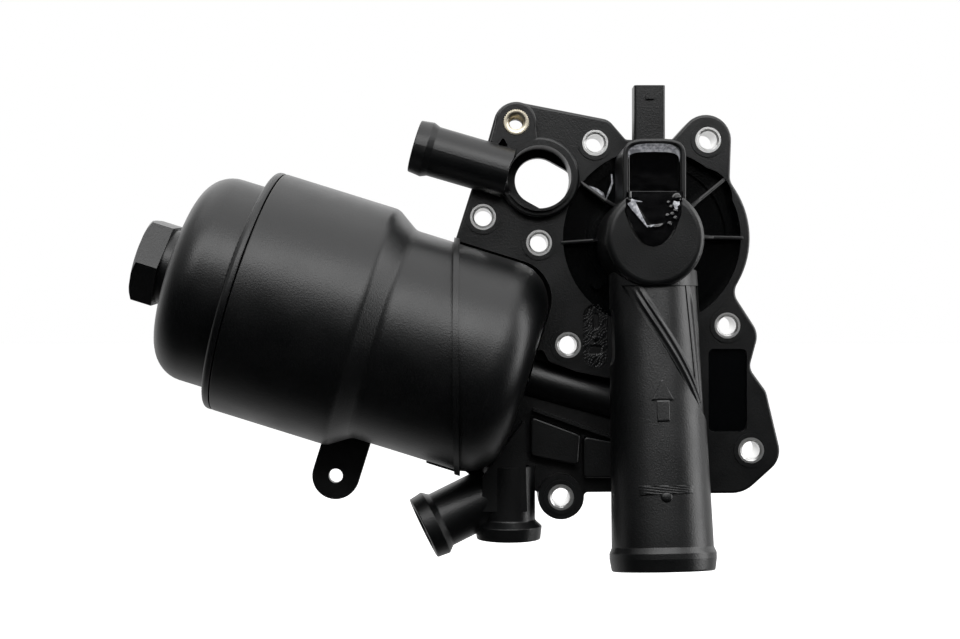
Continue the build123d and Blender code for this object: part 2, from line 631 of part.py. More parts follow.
def make_housing():
    """The one-piece moulding of plate, chamber end, dome, pipe and spigots."""
    body = make_plate() - make_groove() - make_recess()
    body += make_platform()
    body += make_chamber()
    body += make_dome()
    body += make_ribs()
    body += make_well()
    body += make_pipe()
    body -= make_facet_cut()
    body += disc(NUB_PLACE, NUB_R, 0, 12)
    body += make_lower()
    reach = UPPER_SPIGOT_LENGTH - PORT_BORE_R + 2
    body += UPPER * spigot_outside(UPPER_SPIGOT_R, UPPER_SPIGOT_BEAD_R, reach)
    body += SIDE * spigot_outside(SIDE_SPIGOT_R, SIDE_SPIGOT_BEAD_R, SIDE_SPIGOT_LENGTH)
    body += DOWN * spigot_outside(DOWN_SPIGOT_R, DOWN_SPIGOT_BEAD_R, DOWN_SPIGOT_LENGTH)
    body -= make_surface_pockets()
    body -= make_chamber_cut()
    body -= make_pipe_bore()
    for cut in make_back_cuts() + list(make_well_cut()):
        body -= cut
    body -= disc(PORT_PLACE, PORT_BORE_R, PORT_FLOOR_Z, ALL)
    body -= Pos(PORT_PLACE[0], PORT_PLACE[1], -1) * (Rot(0, 0, SLOT_TILT) * extrude(
        Pos(SLOT_LENGTH / 2, 0) * SlotCenterToCenter(SLOT_LENGTH, SLOT_WIDTH), PORT_FLOOR_Z + 2))
    body -= UPPER * spigot_bore(UPPER_SPIGOT_R, UPPER_SPIGOT_LENGTH)
    body -= SIDE * spigot_bore(SIDE_SPIGOT_R, SIDE_SPIGOT_LENGTH - 3)
    body -= DOWN * spigot_bore(DOWN_SPIGOT_R, DOWN_SPIGOT_LENGTH)
    body -= FILTER * disc((0, 0), STANDPIPE_BORE_R, STANDPIPE_START - 1, RISER_HEIGHT + 2)
    for place in SLEEVE_PLACES:
        body -= disc(place, SLEEVE_OUTER_R, -1, ALL)
    body -= disc(INSERT_PLACE, INSERT_OUTER_R, PLATFORM_Z - INSERT_LENGTH, ALL)
    body -= disc(INSERT_PLACE, INSERT_BORE_R + 0.6, -1, ALL)
    return body


def make_bowl():
    """Filter bowl: a turned shell with a shoulder, its tab and its ledge."""
    inner = SMALL_R - CHAMBER_WALL
    joint = RIM_HEIGHT + RIM_GAP / 2
    shell = turned([
        (BOWL_BORE_R, joint, 0), (BOWL_R, joint, 0.6), (BOWL_R, SHOULDER_START, SHOULDER_ROUND),
        (SMALL_R, SHOULDER_END, SHOULDER_ROUND), (SMALL_R, PAST_SEAM, 0), (inner, PAST_SEAM, 0),
        (inner, SHOULDER_END + 1, SHOULDER_ROUND), (BOWL_BORE_R, SHOULDER_START - 1, SHOULDER_ROUND)])
    solid_inside = turned([
        (0, -20, 0), (BOWL_BORE_R + 1, -20, 0), (BOWL_BORE_R + 1, SHOULDER_START, 0),
        (inner + 1, SHOULDER_END, 0), (inner + 1, PAST_SEAM + 10, 0), (0, PAST_SEAM + 10, 0)])
    strip = Pos(TAB_HOLE[0], TAB_HOLE[1], 0) * (Rot(0, 0, -FILTER_TILT) * Box(
        2 * TAB_R, TAB_LENGTH, TAB_THICKNESS, align=(Align.CENTER, Align.MIN, Align.MIN)))
    tab = strip + disc(TAB_HOLE, TAB_R, 0, TAB_THICKNESS)
    tab -= FILTER * solid_inside
    tab -= disc(TAB_HOLE, TAB_HOLE_R, -1, TAB_THICKNESS + 1)
    ledge = left_of_seam(FILTER * (Pos(-SMALL_R, -14, 83) * fillet(Box(
        2.0, 14, 26, align=(Align.CENTER, Align.MIN, Align.MIN)).edges().filter_by(Axis.X), 2.0)))
    ledge -= FILTER * solid_inside
    return left_of_seam(FILTER * shell) + tab + ledge


def make_cap():
    """Screw cap: hexagon, collar, dome, thin flange and plain spigot with a seal groove."""
    spigot_r = BOWL_BORE_R - CAP_CLEARANCE
    inside = CAP_DOME_R - CAP_WALL
    groove_floor = BOWL_BORE_R - SEAL_CLEARANCE * 2 - 2 * SEAL_SECTION_R
    cone_low = -CAP_TOP + CAP_CONE_DROP
    joint = RIM_HEIGHT - RIM_GAP / 2
    body = turned([
        (0, -CAP_TOP, 0), (CAP_CONE_START_R, -CAP_TOP, 3), (CAP_DOME_R, cone_low, CAP_CORNER_ROUND),
        (CAP_DOME_R, joint - CAP_FLANGE - 0.8, 0.8), (CAP_R, joint - CAP_FLANGE, CAP_FLANGE_ROUND),
        (CAP_R, joint, 0.4), (spigot_r, joint, 0), (spigot_r, CAP_SPIGOT_LENGTH, 0.8),
        (inside, CAP_SPIGOT_LENGTH, 0), (inside, cone_low + CAP_WALL, CAP_CORNER_ROUND - CAP_WALL),
        (CAP_CONE_START_R, -CAP_TOP + CAP_WALL, 3), (0, -CAP_TOP + CAP_WALL, 0)])
    body -= ring((0, 0), groove_floor, BOWL_BORE_R + 1, SEAL_PLACE - SEAL_SECTION_R - 0.2,
                 SEAL_PLACE + SEAL_SECTION_R + 0.2)
    collar_top = -CAP_TOP - HEX_COLLAR
    collar = disc((0, 0), HEX_COLLAR_R, collar_top, -CAP_TOP + 1)
    hexagon = Pos(0, 0, collar_top - HEX_HEIGHT) * extrude(
        Rot(0, 0, HEX_TURN) * RegularPolygon(HEX_FLATS / 2, 6, major_radius=False), HEX_HEIGHT)
    crown = Pos(0, 0, collar_top - HEX_HEIGHT) * Cone(
        HEX_CROWN_R, HEX_CROWN_R + HEX_HEIGHT * 1.6, HEX_HEIGHT,
        align=(Align.CENTER, Align.CENTER, Align.MIN))
    hexagon &= crown
    tube = ring((0, 0), VALVE_TUBE_R - VALVE_TUBE_WALL, VALVE_TUBE_R, -CAP_TOP + 1, VALVE_TUBE_END)
    for angle in range(0, 360, 90):
        tube -= Rot(0, 0, angle + 45) * (Pos(VALVE_TUBE_R, 0, TUBE_WINDOW_PLACE) * Box(*TUBE_WINDOW))
    body += collar + hexagon + tube
    head = collar_top - HEX_HEIGHT
    body -= disc((0, 0), HEX_SOCKET_R, head - 1, head + HEX_SOCKET_DEPTH)
    return FILTER * body


def make_cap_seal():
    """O-ring in the cap's groove."""
    return FILTER * (Pos(0, 0, SEAL_PLACE) * Torus(
        BOWL_BORE_R - SEAL_CLEARANCE - SEAL_SECTION_R, SEAL_SECTION_R))


def make_element():
    """Pleated paper, its two end plates, its core and its seal."""
    low = ELEMENT_START + END_PLATE
    high = ELEMENT_END - END_PLATE
    step = 360.0 / PLEATS
    points = []
    for i in range(PLEATS):
        points.append((ELEMENT_R - 0.3, i * step))
        points.append((CORE_R + 1.2, (i + 0.5) * step))
    outer = [(r * cos(radians(a)), r * sin(radians(a))) for r, a in points]
    inner = []
    for r, a in points:
        shrink = r - PLEAT_THICKNESS * (2.4 if r > CORE_R + 5 else 1.0)
        inner.append((shrink * cos(radians(a)), shrink * sin(radians(a))))
    pleats = make_face(Polyline(*outer, close=True)) - make_face(Polyline(*inner, close=True))
    media = prism(pleats, low, high)
    plate_r = ELEMENT_R + END_PLATE_OVERHANG
    outer_plate = ring((0, 0), VALVE_TUBE_R + JOINT_GAP, plate_r, ELEMENT_START, low)
    inner_plate = ring((0, 0), STANDPIPE_R + ELEMENT_SEAL_WIDTH, plate_r, high, ELEMENT_END)
    core = ring((0, 0), CORE_R - CORE_WALL, CORE_R, low, high)
    for row in range(4):
        for angle in range(0, 360, 60):
            hole = Rot(0, 0, angle + 30 * (row % 2)) * (Pos(CORE_R, 0, low + 12 + row * 21) * Box(8, 6, 9))
            core -= hole
    seal_low = ELEMENT_END - END_PLATE - 1
    seal = ring((0, 0), STANDPIPE_R + SEAL_CLEARANCE, STANDPIPE_R + ELEMENT_SEAL_WIDTH,
                seal_low - 1, seal_low - 1 + ELEMENT_SEAL_LENGTH)
    return [FILTER * piece for piece in (media, outer_plate, inner_plate, core, seal)]


def make_bypass():
    """Bypass valve in the end of the cap's tube: seat with cage, disc and spring."""
    seat_low = VALVE_TUBE_END
    seat_high = seat_low + VALVE_SEAT_THICKNESS
    cage_end = seat_high + VALVE_CAGE_LENGTH
    cage = ring((0, 0), VALVE_SEAT_R, VALVE_CAGE_R, seat_low, seat_high)
    wall = ring((0, 0), VALVE_CAGE_R - VALVE_CAGE_WALL, VALVE_CAGE_R, seat_high, cage_end)
    for angle in range(0, 360, 120):
        wall -= Rot(0, 0, angle) * (Pos(VALVE_CAGE_R, 0, seat_high + 7) * Box(8, 11, 9))
    lid = ring((0, 0), 3.0, VALVE_CAGE_R, cage_end - VALVE_CAGE_WALL, cage_end)
    valve = disc((0, 0), VALVE_DISC_R, seat_high, seat_high + VALVE_DISC_THICKNESS)
    spring = coil(VALVE_SPRING_R, VALVE_SPRING_WIRE, seat_high + VALVE_DISC_THICKNESS,
                  cage_end - VALVE_CAGE_WALL, VALVE_SPRING_TURNS)
    return [FILTER * piece for piece in (cage + wall + lid, valve, spring)]


def make_thermostat():
    """Thermostat: frame with bridge, capsule, valve plate, spring, seal and heated pin."""
    x, y = DOME_PLACE
    seat_low = FRAME_POCKET_Z - THERMO_SEAL - FRAME_THICKNESS
    seat_high = seat_low + FRAME_THICKNESS
    flange = ring((0, 0), SEAT_R, FRAME_R, seat_low, seat_high)
    bridge_low = seat_low - BRIDGE_REACH
    arm_r = VALVE_PLATE_R + 1.2
    legs = ring((0, 0), arm_r, arm_r + BRIDGE_METAL, bridge_low, seat_low)
    legs += ring((0, 0), CAPSULE_R + JOINT_GAP, arm_r + BRIDGE_METAL, bridge_low - BRIDGE_METAL, bridge_low)
    legs &= Box(BRIDGE_WIDTH, ALL, ALL)
    rest = ring((0, 0), CAPSULE_R + JOINT_GAP, THERMO_SPRING_R + 2, bridge_low - BRIDGE_METAL, bridge_low)
    frame = flange + legs + rest
    seal = ring((0, 0), FRAME_R - 5, FRAME_R, seat_high, FRAME_POCKET_Z)
    plate_high = seat_low
    plate_low = plate_high - VALVE_PLATE
    plate = ring((0, 0), CAPSULE_NECK_R, VALVE_PLATE_R, plate_low, plate_high)
    capsule = turned([
        (0, plate_low - CAPSULE_BACK, 0), (CAPSULE_R, plate_low - CAPSULE_BACK, 1),
        (CAPSULE_R, plate_low, 0),
        (CAPSULE_NECK_R, plate_low, 0), (CAPSULE_NECK_R, plate_high + CAPSULE_FRONT, 0.6),
        (0, plate_high + CAPSULE_FRONT, 0)])
    capsule -= disc((0, 0), PIN_R + PIN_SLACK, plate_high + CAPSULE_FRONT - PIN_DEPTH, ALL)
    spring = coil(THERMO_SPRING_R, THERMO_SPRING_WIRE, bridge_low, plate_low, THERMO_SPRING_TURNS)
    pin_low = plate_high + CAPSULE_FRONT - PIN_DEPTH + 0.5
    base_low = DOME_ROOF_Z - HEATER_BASE
    pin = disc((0, 0), PIN_R, pin_low, base_low) + disc((0, 0), HEATER_BASE_R, base_low, DOME_ROOF_Z)
    return [Pos(x, y, 0) * piece for piece in (frame, seal, plate, capsule, spring, pin)]


def make_resin():
    """Potting resin that fills the well up to just under its rim."""
    room, trough, _ = make_well_cut()
    below = Pos(0, 0, RESIN_LEVEL_Z) * Box(ALL, ALL, ALL, align=(Align.CENTER, Align.CENTER, Align.MAX))
    film = (trough & below_slope(RESIN_FILM)) & Pos(0, WELL_TIP_Y + 2.5, 0) * Box(
        ALL, ALL, ALL, align=(Align.CENTER, Align.MIN, Align.CENTER))
    return (room & below) + film


def make_terminals():
    """Two flat contact blades standing in the plug socket."""
    x = DOME_PLACE[0]
    low = CONNECTOR_TOP_Y - CONNECTOR_SOCKET
    return [Pos(x + side * TERMINAL_PITCH / 2, low, CONNECTOR_Z) * Box(
        TERMINAL_SIZE[0], TERMINAL_REACH, TERMINAL_SIZE[1], align=(Align.CENTER, Align.MIN, Align.CENTER))
        for side in (-1, 1)]


def make_sleeve(place):
    """Aluminium bolt sleeve, chamfered inside at the front."""
    top = PLATE_THICKNESS + BOSS_RISE
    return Pos(place[0], place[1], 0) * turned([
        (SLEEVE_BORE_R, 0, 0), (SLEEVE_OUTER_R, 0, 0), (SLEEVE_OUTER_R, top, 0),
        (SLEEVE_BORE_R + SLEEVE_CHAMFER, top, 0), (SLEEVE_BORE_R, top - SLEEVE_CHAMFER, 0)])


def make_insert():
    """Brass threaded insert pressed into its lug."""
    top = PLATFORM_Z + INSERT_LIP
    return Pos(INSERT_PLACE[0], INSERT_PLACE[1], 0) * turned([
        (INSERT_BORE_R, PLATFORM_Z - INSERT_LENGTH, 0), (INSERT_OUTER_R, PLATFORM_Z - INSERT_LENGTH, 0.4),
        (INSERT_OUTER_R, top, 0.3), (INSERT_BORE_R + 0.8, top, 0), (INSERT_BORE_R, top - 0.8, 0)])


def make_gasket(place, radius, slack):
    """Flat face gasket, or its groove when it is given some slack on both sides."""
    half = GASKET_WIDTH / 2 + slack
    return ring(place, radius - half, radius + half, 0, GASKET_DEPTH)


def write(name, shape):
    """Stand a piece up in the installed frame and write it under its node name."""
    solids = shape if isinstance(shape, list) else [shape]
    stood = [Rot(90, 0, 0) * solid for solid in solids]
    whole = stood[0] if len(stood) == 1 else Compound(children=stood)
    export_step(whole, os.path.join("parts", name + ".step"))


os.makedirs("parts", exist_ok=True)
media, outer_plate, inner_plate, core, element_seal = make_element()
cage, bypass_disc, bypass_spring = make_bypass()
frame, thermostat_seal, valve_plate, capsule, thermostat_spring, pin = make_thermostat()
NODES = {
    "main_housing": make_housing(),
    "filter_bowl": make_bowl(),
    "filter_cap": make_cap(),
    "cap_seal": make_cap_seal(),
    "filter_paper": media,
    "element_outer_plate": outer_plate,
    "element_inner_plate": inner_plate,
    "element_core": core,
    "element_seal": element_seal,
    "bypass_cage": cage,
    "bypass_disc": bypass_disc,
    "bypass_spring": bypass_spring,
    "thermostat_frame": frame,
    "thermostat_seal": thermostat_seal,
    "thermostat_plate": valve_plate,
    "wax_capsule": capsule,
    "thermostat_spring": thermostat_spring,
    "heater_pin": pin,
    "connector_terminals": make_terminals(),
    "potting_resin": make_resin(),
    "bolt_sleeves": [make_sleeve(place) for place in SLEEVE_PLACES],
    "brass_insert": make_insert(),
    "coolant_gasket": make_gasket(DOME_PLACE, COOLANT_GASKET_R, 0),
    "oil_gaskets": [make_gasket(place, OIL_GASKET_R, 0) for place in (OIL_OUTLET_PLACE, OIL_INLET_PLACE)],
}
for node_name, node_shape in NODES.items():
    write(node_name, node_shape)
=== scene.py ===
"""Looks of a plastic oil filter housing with its thermostat dome, coolant pipe and screw cap."""
import math

import bmesh
import bpy
import numpy as np
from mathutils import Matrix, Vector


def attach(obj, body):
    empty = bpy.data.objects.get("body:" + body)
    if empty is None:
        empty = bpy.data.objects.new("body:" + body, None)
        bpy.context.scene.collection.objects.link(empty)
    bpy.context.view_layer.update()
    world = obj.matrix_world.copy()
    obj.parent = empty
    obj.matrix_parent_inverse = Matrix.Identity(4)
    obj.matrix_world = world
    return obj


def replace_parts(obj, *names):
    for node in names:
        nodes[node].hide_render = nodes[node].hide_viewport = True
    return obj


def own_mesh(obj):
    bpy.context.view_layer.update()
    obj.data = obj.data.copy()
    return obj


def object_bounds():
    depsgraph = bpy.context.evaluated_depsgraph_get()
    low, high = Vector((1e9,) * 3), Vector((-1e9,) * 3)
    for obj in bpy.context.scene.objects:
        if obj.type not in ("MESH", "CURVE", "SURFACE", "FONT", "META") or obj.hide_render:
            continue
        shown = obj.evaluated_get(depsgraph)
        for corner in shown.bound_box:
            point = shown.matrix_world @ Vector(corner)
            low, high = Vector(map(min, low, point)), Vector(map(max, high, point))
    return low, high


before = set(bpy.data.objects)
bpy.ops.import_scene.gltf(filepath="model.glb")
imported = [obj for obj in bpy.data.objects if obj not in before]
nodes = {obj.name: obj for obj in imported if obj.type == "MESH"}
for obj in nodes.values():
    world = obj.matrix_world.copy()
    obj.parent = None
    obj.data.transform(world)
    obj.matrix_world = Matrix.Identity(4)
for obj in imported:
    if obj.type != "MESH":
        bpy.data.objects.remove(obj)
cad_low, cad_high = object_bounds()


# Housing moulding: glass-filled nylon 6.6, injection moulded in a spark-eroded tool.
# The fibres near the skin leave it satin black with a fine grain, and its soft sheen
# shows every rounded edge. Bowl and cap are moulded from the same pellets.
def linear(hex_colour):
    """sRGB hex such as "1A1B1D" turned to linear red, green, blue and alpha."""
    parts = [int(hex_colour[i:i + 2], 16) / 255 for i in (0, 2, 4)]
    return tuple(c / 12.92 if c <= 0.04045 else ((c + 0.055) / 1.055) ** 2.4 for c in parts) + (1.0,)


def add_node(tree, kind, settings=None, links=None, **values):
    """One node: settings are its properties, values its sockets, and links its sockets' sources."""
    made = tree.nodes.new(kind)
    for key, value in (settings or {}).items():
        setattr(made, key, value)
    for key, value in values.items():
        made.inputs[key.replace("_", " ")].default_value = value
    for key, source in (links or {}).items():
        tree.links.new(source, made.inputs[key])
    return made


def new_material(name):
    """Empty node material and its tree."""
    material = bpy.data.materials.new(name)
    material.use_nodes = True
    material.node_tree.nodes.clear()
    return material, material.node_tree


def finish_material(tree, shader):
    """Links the shader to the material's output."""
    add_node(tree, "ShaderNodeOutputMaterial", links={"Surface": shader.outputs["BSDF"]})


def polished_zone(tree, place, centre_mm, half_mm, power, front_mm):
    """Mask of a polished pocket, 1 inside: the powers of the distances from the centre across and
    up, over the half sizes, add up to less than 1, and the place lies behind the front given."""
    shift = tuple(-c / h for c, h in zip(centre_mm, half_mm))
    spot = add_node(tree, "ShaderNodeVectorMath", {"operation": "MULTIPLY_ADD"}, {0: place})
    spot.inputs[1].default_value = (1000 / half_mm[0], 0, 1000 / half_mm[1])
    spot.inputs[2].default_value = (shift[0], 0, shift[1])
    size = add_node(tree, "ShaderNodeVectorMath", {"operation": "ABSOLUTE"}, {0: spot.outputs[0]})
    apart = add_node(tree, "ShaderNodeSeparateXYZ", links={"Vector": size.outputs[0]})
    powers = []
    for axis in ("X", "Z"):
        raised = add_node(tree, "ShaderNodeMath", {"operation": "POWER"}, {0: apart.outputs[axis]})
        raised.inputs[1].default_value = power
        powers.append(raised.outputs[0])
    total = add_node(tree, "ShaderNodeMath", {"operation": "ADD"}, {0: powers[0], 1: powers[1]})
    inside = add_node(tree, "ShaderNodeMath", {"operation": "LESS_THAN"}, {0: total.outputs[0]})
    inside.inputs[1].default_value = 1.0
    depth = add_node(tree, "ShaderNodeSeparateXYZ", links={"Vector": place})
    sunk = add_node(tree, "ShaderNodeMath", {"operation": "GREATER_THAN"}, {0: depth.outputs["Y"]})
    sunk.inputs[1].default_value = -front_mm / 1000
    return add_node(tree, "ShaderNodeMath", {"operation": "MULTIPLY"},
                    {0: inside.outputs[0], 1: sunk.outputs[0]}).outputs[0]


# The real grain is about 0.1 mm; it is drawn 0.6 mm wide so that it shows at all.
NYLON_BLACK = "060708"
NYLON_IOR = 1.53
GRAIN_MM = 0.6
GRAIN_HEIGHT_MM = 0.06
CLOUD_MM = 14.0
SHEEN_LOW = 0.33
SHEEN_HIGH = 0.41
POLISHED_ROUGHNESS = 0.12


def moulded_nylon(name, polished=()):
    """Glass-filled nylon: fine eroded grain as bump, and cloudy changes of sheen 14 mm across.
    In the polished pockets the tool left it glossy, so they look nearly black."""
    material, tree = new_material(name)
    place = add_node(tree, "ShaderNodeTexCoord").outputs["Object"]
    grain = add_node(tree, "ShaderNodeTexNoise", links={"Vector": place}, Scale=1000 / GRAIN_MM, Detail=2.0)
    clouds = add_node(tree, "ShaderNodeTexNoise", links={"Vector": place}, Scale=1000 / CLOUD_MM, Detail=3.0)
    sheen = add_node(tree, "ShaderNodeMapRange", links={"Value": clouds.outputs["Fac"]},
                     From_Min=0.3, From_Max=0.7, To_Min=SHEEN_LOW, To_Max=SHEEN_HIGH)
    bump = add_node(tree, "ShaderNodeBump", links={"Height": grain.outputs["Fac"]},
                    Strength=1.0, Distance=GRAIN_HEIGHT_MM / 1000)
    roughness = sheen.outputs["Result"]
    for centre_mm, half_mm, power, front_mm in polished:
        mask = polished_zone(tree, place, centre_mm, half_mm, power, front_mm)
        mixed = add_node(tree, "ShaderNodeMix", {"data_type": "FLOAT"}, {0: mask, 2: roughness})
        mixed.inputs[3].default_value = POLISHED_ROUGHNESS
        roughness = mixed.outputs[0]
    shader = add_node(tree, "ShaderNodeBsdfPrincipled",
                      links={"Roughness": roughness, "Normal": bump.outputs["Normal"]},
                      Base_Color=linear(NYLON_BLACK), IOR=NYLON_IOR)
    finish_material(tree, shader)
    return material


def dress(names, material):
    """Gives CAD nodes their material."""
    for name in names:
        mesh = nodes[name].data
        mesh.materials.clear()
        mesh.materials.append(material)


# Polished pockets: centre and half sizes across and up, power of the outline, and front edge. They
# are the recess round the dome, its bulge at the upper right, and the square pocket.
PLATE_FRONT = 16.0
POLISHED_FRONT = PLATE_FRONT - 0.6
DOME_CENTRE = (31.9, 40.7)
RECESS = (DOME_CENTRE, (33.9, 33.9), 2.0, POLISHED_FRONT)
RECESS_BULGE = ((50.5, 55.5), (12.1, 12.1), 2.0, POLISHED_FRONT)
SQUARE_POCKET = ((60.7, -17.2), (7.4, 15.85), 8.0, POLISHED_FRONT)
housing_nylon = moulded_nylon("glass_filled_nylon_black", (RECESS, RECESS_BULGE, SQUARE_POCKET))
dress(["main_housing"], housing_nylon)
dress(["filter_bowl", "filter_cap"], moulded_nylon("glass_filled_nylon_bowl"))


# Flow arrow and cavity plate: raised about half a millimetre on the coolant pipe, because
# they are sunk into the tool. The plate has a rough face, the arrow a smooth one.
PIPE_MOUTH = np.array([32.4, -80.5, 49.0])
PIPE_ROOT = np.array([30.1, 26.5, 35.2])
PIPE_MOUTH_R = 18.5
PIPE_ROOT_R = 16.1
MARK_SUNK = 0.4
MARK_BEVEL = 0.14
ARROW_HEIGHT = 0.55
PLATE_HEIGHT = 0.6
PLATE_ROUGHNESS = 0.07


def stand(x, y, z):
    """Drawing place in millimetres (x right, y up, z to the front) stood in the frame, in metres."""
    return np.stack([x, -z, y], axis=-1) / 1000


def on_pipe(across, back, height):
    """Place on the drafted pipe: the arc length across from its front line is turned to an angle,
    back is the distance from the mouth along the axis, and height is added to the radius."""
    along = PIPE_MOUTH - PIPE_ROOT
    length = np.linalg.norm(along)
    along = along / length
    right = np.array([1.0, 0, 0]) - along * along[0]
    right /= np.linalg.norm(right)
    front = np.cross(right, along)
    front *= np.sign(front[2])
    radius = PIPE_MOUTH_R - (PIPE_MOUTH_R - PIPE_ROOT_R) * back / length
    angle = across / radius
    reach = radius + height
    spot = PIPE_MOUTH - back[..., None] * along
    spot = spot + reach[..., None] * (np.sin(angle)[..., None] * right + np.cos(angle)[..., None] * front)
    return stand(spot[..., 0], spot[..., 1], spot[..., 2])


def add_piece(name, points, faces, material, body, sharp=38):
    """Closed mesh that points outwards: where its signed volume is negative, its faces are turned."""
    corners = points[faces]
    normal = np.cross(corners[:, 1] - corners[:, 0], corners[:, 2] - corners[:, 0])
    normal = normal + np.cross(corners[:, 2] - corners[:, 0], corners[:, 3] - corners[:, 0])
    if (normal * (corners.mean(1) - points.mean(0))).sum() < 0:
        faces = faces[:, ::-1]
    mesh = bpy.data.meshes.new(name)
    mesh.from_pydata(points.tolist(), [], faces.tolist())
    mesh.polygons.foreach_set("use_smooth", np.ones(len(faces), dtype=bool))
    mesh.set_sharp_from_angle(angle=math.radians(sharp))
    mesh.materials.append(material)
    made = bpy.data.objects.new(name, mesh)
    bpy.context.collection.objects.link(made)
    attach(made, body)
    return made


def slab(name, top, bottom, material, body, sharp=38):
    """Closed slab between two point grids of one shape: both sheets and the strip round their edge."""
    rows, columns = top.shape[:2]
    index = np.arange(rows * columns).reshape(rows, columns)
    quads = np.stack([index[:-1, :-1], index[1:, :-1], index[1:, 1:], index[:-1, 1:]], -1).reshape(-1, 4)
    rim = np.concatenate([index[0, :-1], index[:-1, -1], index[-1, :0:-1], index[:0:-1, 0]])
    after = np.roll(rim, -1)
    low = rows * columns
    strip = np.stack([rim, after, after + low, rim + low], -1)
    points = np.concatenate([top.reshape(-1, 3), bottom.reshape(-1, 3)])
    faces = np.concatenate([quads, quads[:, ::-1] + low, strip])
    return add_piece(name, points, faces, material, body, sharp)


def raised_mark(name, corners, height, roughness_mm, material):
    """Plate on the pipe between four (across, back) corners: a two-way blend of the corners, with a
    bevelled rim and, where it is rough, a height that ripples as a product of two sines."""
    (a, b, c, d) = np.array(corners)
    steps = np.concatenate([[0, 0.04], np.linspace(0.1, 0.9, 17), [0.96, 1]])
    u, v = np.meshgrid(steps, steps)
    spot = ((1 - u) * (1 - v))[..., None] * a + (u * (1 - v))[..., None] * b
    spot = spot + (u * v)[..., None] * c + ((1 - u) * v)[..., None] * d
    edge = (np.minimum(np.minimum(u, 1 - u), np.minimum(v, 1 - v)) < 0.01)
    across, back = spot[..., 0], spot[..., 1]
    ripple = np.sin(across * 5.3 + back) * np.sin(back * 6.1 + across * 2.0)
    lift = height - MARK_BEVEL * edge + roughness_mm * ripple * ~edge
    top = on_pipe(across, back, lift)
    bottom = on_pipe(across, back, 0 * lift - MARK_SUNK)
    return slab(name, top, bottom, material, "root")


raised_mark("flow_arrow_head", [(-0.2, 67.3), (0.05, 67.3), (3.96, 60.0), (-4.02, 60.0)],
            ARROW_HEIGHT, 0.0, housing_nylon)
raised_mark("flow_arrow_shaft", [(-2.2, 59.99), (2.15, 59.99), (2.1, 52.6), (-2.25, 52.4)],
            ARROW_HEIGHT, 0.0, housing_nylon)
raised_mark("cavity_plate", [(-9.9, 30.2), (10.2, 30.1), (9.7, 27.3), (-9.4, 26.9)],
            PLATE_HEIGHT, PLATE_ROUGHNESS, housing_nylon)


def button_on_pipe(name, across, back, radius, height, material):
    """Round bump: a square grid squeezed to a disc, its height falling as a quarter circle to the rim."""
    u, v = np.meshgrid(np.linspace(-1, 1, 17), np.linspace(-1, 1, 17))
    x = u * np.sqrt(1 - v ** 2 / 2)
    y = v * np.sqrt(1 - u ** 2 / 2)
    rise = height * np.sqrt(np.clip(1 - x ** 2 - y ** 2, 0, 1))
    flat_x, flat_y = across + radius * x, back + radius * y
    top = on_pipe(flat_x, flat_y, rise)
    bottom = on_pipe(flat_x, flat_y, 0 * rise - MARK_SUNK)
    return slab(name, top, bottom, material, "root")


button_on_pipe("cavity_plate_nub", 0.0, 26.2, 2.1, 0.75, housing_nylon)


# Crease where the pipe's round front meets the flat flank below the dome: two soft ridges with
# a groove between them, and a single ridge along the flank's right edge, as the tool left them.
CREASE_HALF = 2.6
CREASE_SUNK = 0.5
FADE_START = 0.15
FADE_END = 0.06
# Soft forms are shaded smooth over every edge that turns by less than this many degrees.
SMOOTH_ALL = 80


def ridge_on_pipe(name, start, end, offsets, height, width, material):
    """Ridges along a straight line between two (across, back) places: across the line the height
    is a sum of bell curves at the offsets, and it fades towards both ends."""
    t, q = np.meshgrid(np.linspace(0, 1, 90), np.linspace(-CREASE_HALF, CREASE_HALF, 31), indexing="ij")
    start, end = np.array(start), np.array(end)
    along = (end - start) / np.linalg.norm(end - start)
    across = start[0] + t * (end - start)[0] - q * along[1]
    back = start[1] + t * (end - start)[1] + q * along[0]
    fade = np.clip(np.minimum(t / FADE_START, (1 - t) / FADE_END), 0, 1)
    lift = sum(np.exp(-((q - offset) / width) ** 2) for offset in offsets) * height * fade - CREASE_SUNK
    top = on_pipe(across, back, lift)
    bottom = on_pipe(across, back, 0 * lift - MARK_SUNK - CREASE_SUNK)
    return slab(name, top, bottom, material, "root", SMOOTH_ALL)


ridge_on_pipe("flank_crease", (-8.9, 101.5), (18.7, 55.8), (-1.0, 1.0), 0.66, 0.75, housing_nylon)
ridge_on_pipe("flank_edge", (14.3, 102.0), (18.3, 58.0), (0.0,), 0.6, 0.9, housing_nylon)


# Well's rim and rib crowns: rounded edges of the housing's moulding, which catch the light as a thin
# line. The bead runs up the left side, over the top and down the right side of the well.
WELL_X = 29.0
ARCH_FOOT_Y = 65.8
RIM_FRONT = 49.9
RIM_HALF = 10.4
RIM_RISE = 7.75
RIM_SIDE_Y = (50.0, 56.0, 61.0)


def streak(name, path, widths, heights, material):
    """Flattened string along a path: its section is a half circle each way, as wide and as high as
    the two lists say."""
    path = np.array(path, float)
    stations = np.arange(len(path))
    v, u = np.meshgrid(np.linspace(0, len(path) - 1, 120), np.linspace(-1, 1, 13), indexing="ij")
    spot = np.stack([np.interp(v[:, 0], stations, path[:, k]) for k in range(3)], -1)
    way = np.gradient(spot[:, :2], axis=0)
    way /= np.linalg.norm(way, axis=1)[:, None]
    wide = np.interp(v, stations, widths)
    tall = np.interp(v, stations, heights) * np.sqrt(1 - 0.97 * u ** 2)
    x = spot[:, :1] - way[:, 1:] * wide * u
    y = spot[:, 1:2] + way[:, :1] * wide * u
    top = stand(x, y, spot[:, 2:] + tall)
    bottom = stand(x, y, spot[:, 2:] - tall)
    return slab(name, top, bottom, material, "root", SMOOTH_ALL)


